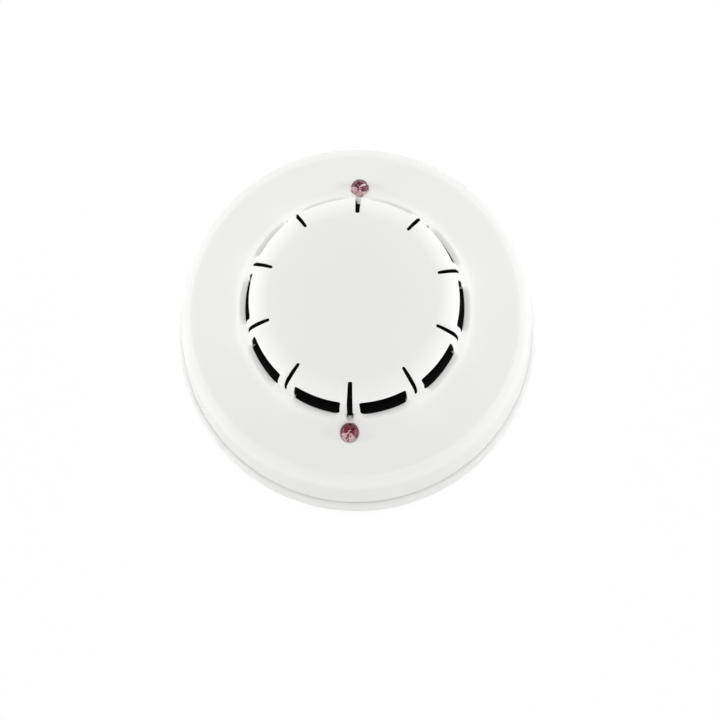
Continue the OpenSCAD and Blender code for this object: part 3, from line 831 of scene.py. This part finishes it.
class DETECTOR_OT_cover(bpy.types.Operator):
    """Moulds the cover: cap, slotted ribs, vents, cone and side wall in one shell"""

    bl_idname = "detector.cover"
    bl_label = "Mould the cover"

    def execute(self, context):
        scene = context.scene
        sizes = scene.cover_sizes
        grid = CoverGrid(sizes)
        milky = {"subsurface_weight": 0.5, "subsurface_radius": (1, 1, 1), "subsurface_scale": MM}
        white = moulded("cover_white", scene.finishes.white, 0.58, specular_ior_level=0.3, **milky)
        # Painted shade: a black finish for the white faces inside the dome, where shadow lies.
        dome_shade = moulded("dome_painted_shade", scene.finishes.black, 0.75, specular_ior_level=0.15)
        mesh = mesh_from(grid.build, "cover")
        mesh.materials.append(white)
        mesh.materials.append(dome_shade)
        mesh = modified(mesh, "round", "SUBSURF", levels=1, render_levels=1)
        settle_cover(mesh, grid)
        mesh = cut_lamp_holes(mesh, sizes, scene.lamp_sizes)
        mesh = self.add_bosses(mesh)
        mesh.name = "cover_shell"
        for face in mesh.polygons:
            face.use_smooth = True
        mesh.set_sharp_from_angle(angle=math.radians(50))
        make_piece("cover_shell", mesh, "head", white, "white_plastic", "outer_cover")
        return {"FINISHED"}

    def add_bosses(self, mesh):
        """Stands the three screw bosses under the cone, each with its pilot hole."""
        ring, bore, wall = BOSS_HIGH.x - 2.5 * MM, 1.25 * MM, 3.2 * MM
        hole_top = BOSS_HIGH.z + 1 * MM
        low = hole_top - 10 * MM
        top = low + 13.9 * MM
        hole = [(0, hole_top), (bore, hole_top), (bore, low)]
        shell = bmesh.new()
        shell.from_mesh(mesh)
        for turned in (0, 2 * math.pi / 3, 4 * math.pi / 3):
            place = ring * math.cos(turned), ring * math.sin(turned)
            lathe(shell, hole + [(wall, low), (wall, top), (0, top)], place, 32)
        bmesh.ops.recalc_face_normals(shell, faces=shell.faces)
        shell.to_mesh(mesh)
        shell.free()
        return mesh


# ---- Lamps -----------------------------------------------------------------------------


class DETECTOR_OT_lamps(bpy.types.Operator):
    """Casts the two tinted lenses round their faceted reflectors and lead frames"""

    bl_idname = "detector.lamps"
    bl_label = "Cast the lamps"

    def execute(self, context):
        sizes = context.scene.lamp_sizes
        resin = lens_resin("lens_resin", sizes.tint)
        facets = reflector_facets("lens_facets", sizes, math.hypot(*lamp_place(90)))
        tin = rolled("lead_tin", context.scene.finishes.tin, 0.3, (1, 1, 0.1))
        black = moulded("spacer_black", context.scene.finishes.black, 0.5)
        for name, angle in LAMPS.items():
            mesh = mesh_from(lambda made: self.cast(made, sizes, angle), f"lens_{name}")
            mesh.set_sharp_from_angle(angle=math.radians(40))
            make_piece(f"lens_{name}", mesh, "head", resin, "pink_lens", f"led_lens_{name}")
            mesh = mesh_from(lambda made: self.facet(made, sizes, angle), f"reflector_{name}")
            for face in mesh.polygons:
                face.use_smooth = False
            make_piece(f"reflector_{name}", mesh, "head", facets, "pink_lens")
            paint(f"led_frame_{name}", tin, 0.05 * MM)
            paint(f"led_spacer_{name}", black, 0.15 * MM)
        return {"FINISHED"}

    def cast(self, made, sizes, angle):
        """A lens: a flange with chamfered edges, a straight body and a domed end."""
        low, radius = LENS_LOW.z, sizes.lens_radius
        flange = (LENS_HIGH.x - LENS_LOW.x) / 2
        top = low + sizes.flange_height
        middle = LENS_HIGH.z - radius
        chamfer, steps = 0.15 * MM, 14
        outline = [(0, low), (flange - chamfer, low), (flange, low + chamfer)]
        outline += [(flange, top - chamfer), (flange - chamfer, top), (radius, top)]
        for k in range(steps + 1):
            turn = math.pi / 2 * k / steps
            outline.append((radius * math.cos(turn), middle + radius * math.sin(turn)))
        lathe(made, outline, lamp_place(angle))

    def facet(self, made, sizes, angle):
        """A shallow bowl of uneven facets round a low point."""
        middle = LENS_HIGH.z - sizes.lens_radius
        x, y = lamp_place(angle)
        rings = []
        # Each ring's reach, as a share of the lens's radius, and its height in mm
        profile = ((0.3, 0.25), (0.62, -0.15), (0.93, -0.7), (0.93, -1.1))
        for order, (reach, height) in enumerate(profile):
            ring = []
            for k in range(sizes.facets):
                uneven = math.sin(2.4 * k + 1.7 * order + angle)
                turn = 2 * math.pi * (k + 0.5 * min(order, 2) + 0.18 * uneven) / sizes.facets
                radius = sizes.lens_radius * reach * (1 - 0.05 * abs(uneven))
                rise = (height + 0.16 * uneven * (order < 2)) * MM
                place = x + radius * math.cos(turn), y + radius * math.sin(turn), middle + rise
                ring.append(made.verts.new(place))
            rings.append(ring)
        tip = made.verts.new((x, y, middle + 0.5 * MM))
        for k in range(sizes.facets):
            after = (k + 1) % sizes.facets
            made.faces.new((tip, rings[0][k], rings[0][after]))
            for inner, outer in zip(rings, rings[1:]):
                made.faces.new((inner[k], outer[k], inner[after]))
                made.faces.new((inner[after], outer[k], outer[after]))
        made.faces.new(rings[-1])


# ---- CAD pieces with their finishes --------------------------------------------------------


class DETECTOR_OT_base(bpy.types.Operator):
    """Finishes the mounting base"""

    bl_idname = "detector.base"
    bl_label = "Finish the base"

    def execute(self, context):
        white = moulded("base_white", context.scene.finishes.white, 0.58, specular_ior_level=0.3)
        paint("mounting_base", white, 0.2 * MM)
        return {"FINISHED"}


class DETECTOR_OT_terminals(bpy.types.Operator):
    """Finishes the terminal plates, clamp washers and terminal screws"""

    bl_idname = "detector.terminals"
    bl_label = "Finish the terminals"

    def execute(self, context):
        finishes = context.scene.finishes
        brass = rolled("spring_brass", finishes.brass, 0.28, (0.12, 1, 1))
        zinc = rolled("zinc_plate", finishes.zinc, 0.32, (1, 1, 1))
        for k in range(1, 5):
            paint(f"terminal_plate_{k}", brass, 0.12 * MM)
            paint(f"clamp_washer_{k}", zinc, 0.15 * MM)
            paint(f"terminal_screw_{k}", zinc, 0.1 * MM)
        return {"FINISHED"}


class DETECTOR_OT_housing(bpy.types.Operator):
    """Finishes the rear housing, its screws and the contact blades"""

    bl_idname = "detector.housing"
    bl_label = "Finish the rear housing"

    def execute(self, context):
        finishes = context.scene.finishes
        paint("rear_housing", moulded("housing_grey", finishes.grey, 0.48), 0.2 * MM)
        zinc = rolled("screw_zinc", finishes.zinc, 0.3, (1, 1, 1))
        paint("cover_screws", zinc, 0.1 * MM)
        paint("board_screws", zinc, 0.1 * MM)
        tin = rolled("blade_tin", finishes.tin, 0.26, (1, 1, 0.12))
        for k in range(1, 5):
            paint(f"contact_blade_{k}", tin, 0.1 * MM)
        return {"FINISHED"}


class DETECTOR_OT_sensor(bpy.types.Operator):
    """Finishes the chamber plate, the sleeve and the two thermistors"""

    bl_idname = "detector.sensor"
    bl_label = "Finish the sensor"

    def execute(self, context):
        black = context.scene.finishes.black
        plate = moulded("chamber_black", black, 0.75, 0.4 * MM, 0.02 * MM, specular_ior_level=0.15)
        paint("chamber_plate", plate, 0.2 * MM)
        paint("thermistor_sleeve", moulded("sleeve_black", black, 0.5), 0.15 * MM)
        paint("thermistor", dipped("bead_glaze", (0.035, 0.025, 0.02), 0.12))
        paint("reference_thermistor", dipped("bead_epoxy", (0.12, 0.17, 0.04)))
        return {"FINISHED"}


class DETECTOR_OT_board(bpy.types.Operator):
    """Finishes the circuit board and the parts on it"""

    bl_idname = "detector.board"
    bl_label = "Finish the board"

    def execute(self, context):
        paint("circuit_board", solder_mask("solder_mask", context.scene.finishes.board), 0.1 * MM)
        paint("capacitor", sleeved("capacitor_sleeve", "capacitor"))
        chip = packaged("chip_body", "comparator_chip", 2 * MM, 0.8 * MM)
        paint("comparator_chip", chip, 0.08 * MM)
        paint("bridge_rectifier", packaged("rectifier_body", "bridge_rectifier"), 0.2 * MM)
        paint("surge_varistor", dipped("varistor_coat", (0.03, 0.10, 0.30)), 0.6 * MM)
        for k in (1, 2):
            paint(f"transistor_{k}", packaged(f"transistor_body_{k}", f"transistor_{k}"), 0.12 * MM)
        brown, black = (0.1, 0.03, 0.01), (0.01, 0.01, 0.01)
        red, gold = (0.45, 0.02, 0.02), (0.55, 0.36, 0.08)
        codes = ((brown, black, red, gold), (red, red, brown, gold))
        for k in range(1, 7):
            bands = list(zip((-2.2, -1.1, 0, 2.1), codes[k % 2]))
            paint(f"resistor_{k}", banded(f"resistor_coat_{k}", f"resistor_{k}", bands), 0.25 * MM)
        return {"FINISHED"}


# ---- Stage -----------------------------------------------------------------------------


class DETECTOR_OT_stage(bpy.types.Operator):
    """Sets the floor, the light and the camera"""

    bl_idname = "detector.stage"
    bl_label = "Set the stage"

    def execute(self, context):
        self.lay_floor(context.scene)
        self.light(context.scene)
        self.place_camera(context.scene)
        context.scene.view_settings.view_transform = "Standard"
        return {"FINISHED"}

    def lay_floor(self, scene):
        """A wide floor just below the base, which glows white where it is seen."""
        half = 1.5
        mesh = bpy.data.meshes.new("floor")
        corners = [(-half, -half, 0), (half, -half, 0), (half, half, 0), (-half, half, 0)]
        mesh.from_pydata(corners, [], [(0, 1, 2, 3)])
        floor = bpy.data.objects.new("floor", mesh)
        floor.location.z = CAD_BOX[0].z - 0.02 * MM
        scene.collection.objects.link(floor)
        finish = Finish("floor_white", base_color=(0.9, 0.9, 0.9), roughness=0.9)
        path = finish.add("LightPath", {}, {})
        through = path.maths("MAXIMUM", path.other("Is Glossy Ray"), path.other("Is Transmission Ray"))
        seen = path.maths("MAXIMUM", path, through)
        strength, glow_share = 1.04, 0.82
        glow = finish.add("Emission", {}, {"Color": (1, 1, 1), "Strength": strength})
        plain = Socket(finish, finish.shader)
        blend = finish.add("MixShader", {}, {0: seen * glow_share, 1: plain, 2: glow})
        finish.tree.links.new(blend.socket, finish.tree.nodes["Material Output"].inputs["Surface"])
        mesh.materials.append(finish.material)

    def light(self, scene):
        """White light from low all round, most from left and right, and one soft lamp above."""
        world = bpy.data.worlds.new("studio")
        scene.world = world
        sky = Shading(world)
        direction = sky.add("TexCoord", {}, {}, "Generated")
        across = sky.add("SeparateXYZ", {}, {0: direction})
        back, low = across.other("Y"), 1 - abs(across.other("Z"))
        all_round = low ** 6 * 3.7
        from_sides = across ** 2 * low ** 2 * 2.7
        from_back = (back + 1) * 0.02
        background = sky.tree.nodes["Background"]
        sky.feed(background.inputs["Strength"], all_round + from_sides + from_back)
        sky.feed(background.inputs["Color"], (1, 1, 1))
        self.hang_lamp(scene, "overhead", (0, 0.09, 1.2), 0.6, 8.9)

    def hang_lamp(self, scene, name, place, size, power):
        """A round lamp at that place, turned towards the detector."""
        data = bpy.data.lights.new(name, "AREA")
        data.shape = "DISK"
        data.size = size
        data.energy = power
        lamp = bpy.data.objects.new(name, data)
        lamp.location = place
        lamp.rotation_euler = (-Vector(place)).to_track_quat("-Z", "Y").to_euler()
        scene.collection.objects.link(lamp)

    def place_camera(self, scene):
        """The camera looks at the middle of the base, swung, tilted and rolled as set."""
        s = scene.stage_sizes
        aside = math.sin(s.tilt)
        back = Vector((aside * math.sin(s.swing), -aside * math.cos(s.swing), math.cos(s.tilt)))
        right = Vector((0, 1, 0)).cross(back).normalized()
        up = back.cross(right)
        turned = Matrix((right, up, back)).transposed() @ Matrix.Rotation(s.roll, 3, "Z")
        data = bpy.data.cameras.new("camera")
        data.lens, data.sensor_width = s.lens, 36
        data.shift_x, data.shift_y = s.shift_x, s.shift_y
        data.clip_start = 0.01
        camera = bpy.data.objects.new("camera", data)
        camera.matrix_world = Matrix.Translation(back * s.distance) @ turned.to_4x4()
        scene.collection.objects.link(camera)
        scene.camera = camera


# ---- Add-on ----------------------------------------------------------------------------


STEPS = (
    DETECTOR_OT_stage,
    DETECTOR_OT_cover,
    DETECTOR_OT_lamps,
    DETECTOR_OT_base,
    DETECTOR_OT_terminals,
    DETECTOR_OT_housing,
    DETECTOR_OT_sensor,
    DETECTOR_OT_board,
)


class DETECTOR_PT_panel(bpy.types.Panel):
    """Lists the steps that build the detector"""

    bl_idname = "DETECTOR_PT_panel"
    bl_label = "Heat Detector"
    bl_space_type = "VIEW_3D"
    bl_region_type = "UI"
    bl_category = "Heat Detector"

    def draw(self, context):
        for step in STEPS:
            self.layout.operator(step.bl_idname)


GROUPS = {
    "cover_sizes": CoverSizes,
    "lamp_sizes": LampSizes,
    "finishes": Finishes,
    "stage_sizes": StageSizes,
}


def register():
    for name, group in GROUPS.items():
        bpy.utils.register_class(group)
        setattr(bpy.types.Scene, name, PointerProperty(type=group))
    for step in STEPS:
        bpy.utils.register_class(step)
    bpy.utils.register_class(DETECTOR_PT_panel)


def unregister():
    bpy.utils.unregister_class(DETECTOR_PT_panel)
    for step in reversed(STEPS):
        bpy.utils.unregister_class(step)
    for name, group in reversed(GROUPS.items()):
        delattr(bpy.types.Scene, name)
        bpy.utils.unregister_class(group)


def main():
    register()
    for step in STEPS:
        family, action = step.bl_idname.split(".")
        getattr(getattr(bpy.ops, family), action)()


if __name__ == "__main__":
    main()
